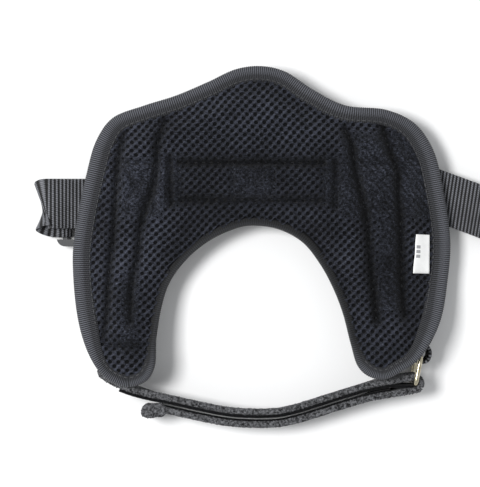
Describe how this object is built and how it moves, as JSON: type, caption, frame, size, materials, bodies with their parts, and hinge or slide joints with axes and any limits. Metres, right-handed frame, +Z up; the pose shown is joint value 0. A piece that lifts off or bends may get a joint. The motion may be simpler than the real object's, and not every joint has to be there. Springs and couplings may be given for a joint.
{
  "type": "padded harness breastplate",
  "caption": "Padded U-shaped harness breastplate lying lining side up, with bound edges, girth straps and a doubled chest strap.",
  "frame": {"origin": "centre of the footprint on the surface the harness lies on", "axes": "+X to the right, +Y towards the rear of the harness, +Z up out of the lining"},
  "size_m": [0.3362, 0.1742, 0.0334],
  "materials": {
    "spacer_mesh": "matte knitted spacer mesh",
    "foam": "matte foam",
    "shell_fabric": "matte woven",
    "binding_tape": "ribbed grosgrain",
    "webbing": "ribbed webbing, slight sheen",
    "velour_strap": "brushed loop pile",
    "loop_tape": "loop pile",
    "hook_tape": "nylon hooks",
    "white_label": "satin woven",
    "nickel_steel": "polished, warm nickel plate",
    "black_plastic": "fine satin"
  },
  "bodies": {
    "pad": {"mesh_lining": "spacer_mesh", "foam_padding": "foam", "outer_shell": "shell_fabric", "edge_binding": "binding_tape", "size_label": "white_label", "left_leg_webbing": "webbing", "right_leg_webbing": "webbing", "cross_webbing": "webbing", "handle": "webbing", "leash_ring_loop": "webbing", "left_strap_anchor": "webbing", "right_strap_anchor": "webbing", "left_tip_loop": "webbing", "right_tip_loop": "webbing", "chest_strap": "velour_strap", "chest_loop_tape": "loop_tape"},
    "leash_ring": {"leash_ring": "nickel_steel"},
    "left_girth": {"left_girth_strap": "webbing"},
    "socket": {"buckle_socket": "black_plastic"},
    "right_girth": {"right_girth_strap": "webbing"},
    "keeper": {"strap_keeper": "black_plastic"},
    "plug": {"buckle_plug": "black_plastic"},
    "left_ring": {"left_tip_ring": "nickel_steel"},
    "right_ring": {"right_tip_ring": "nickel_steel"},
    "chest_tail": {"chest_strap_tail": "velour_strap", "chest_hook_tape": "hook_tape"}
  },
  "joints": [
    {"name": "leash_ring_swing", "type": "hinge", "parent": "pad", "child": "leash_ring", "pos_m": [-0.06386, 0.04726, 0.0144], "axis": [1, 0, 0], "range_deg": [-55, 40]},
    {"name": "left_girth_swing", "type": "hinge", "parent": "pad", "child": "left_girth", "pos_m": [-0.15136, 0.01926, 0.0118], "axis": [0.0995, 0.995, 0], "range_deg": [0, 60]},
    {"name": "socket_pivot", "type": "hinge", "parent": "left_girth", "child": "socket", "pos_m": [-0.15476, 0.01686, 0.0048], "axis": [0, 1, 0], "range_deg": [0, 50]},
    {"name": "right_girth_swing", "type": "hinge", "parent": "pad", "child": "right_girth", "pos_m": [0.03734, 0.02106, 0.0113], "axis": [-0.342, -0.9397, 0], "range_deg": [0, 75]},
    {"name": "keeper_slide", "type": "slide", "parent": "right_girth", "child": "keeper", "axis": [0.9397, -0.342, 0], "range_m": [-0.014, 0.014]},
    {"name": "plug_pivot", "type": "hinge", "parent": "right_girth", "child": "plug", "pos_m": [0.13507, -0.01451, 0.005], "axis": [-0.342, -0.9397, 0], "range_deg": [0, 60]},
    {"name": "left_ring_swing", "type": "hinge", "parent": "pad", "child": "left_ring", "pos_m": [-0.13336, -0.05924, 0.01275], "axis": [0, 0, 1], "range_deg": [-8, 8]},
    {"name": "right_ring_swing", "type": "hinge", "parent": "pad", "child": "right_ring", "pos_m": [0.01444, -0.06534, 0.01275], "axis": [0, 0, 1], "range_deg": [-8, 8]},
    {"name": "chest_strap_peel", "type": "hinge", "parent": "pad", "child": "chest_tail", "pos_m": [0.01024, -0.06909, 0.0127], "axis": [0, 0, 1], "range_deg": [0, 110]}
  ]
}
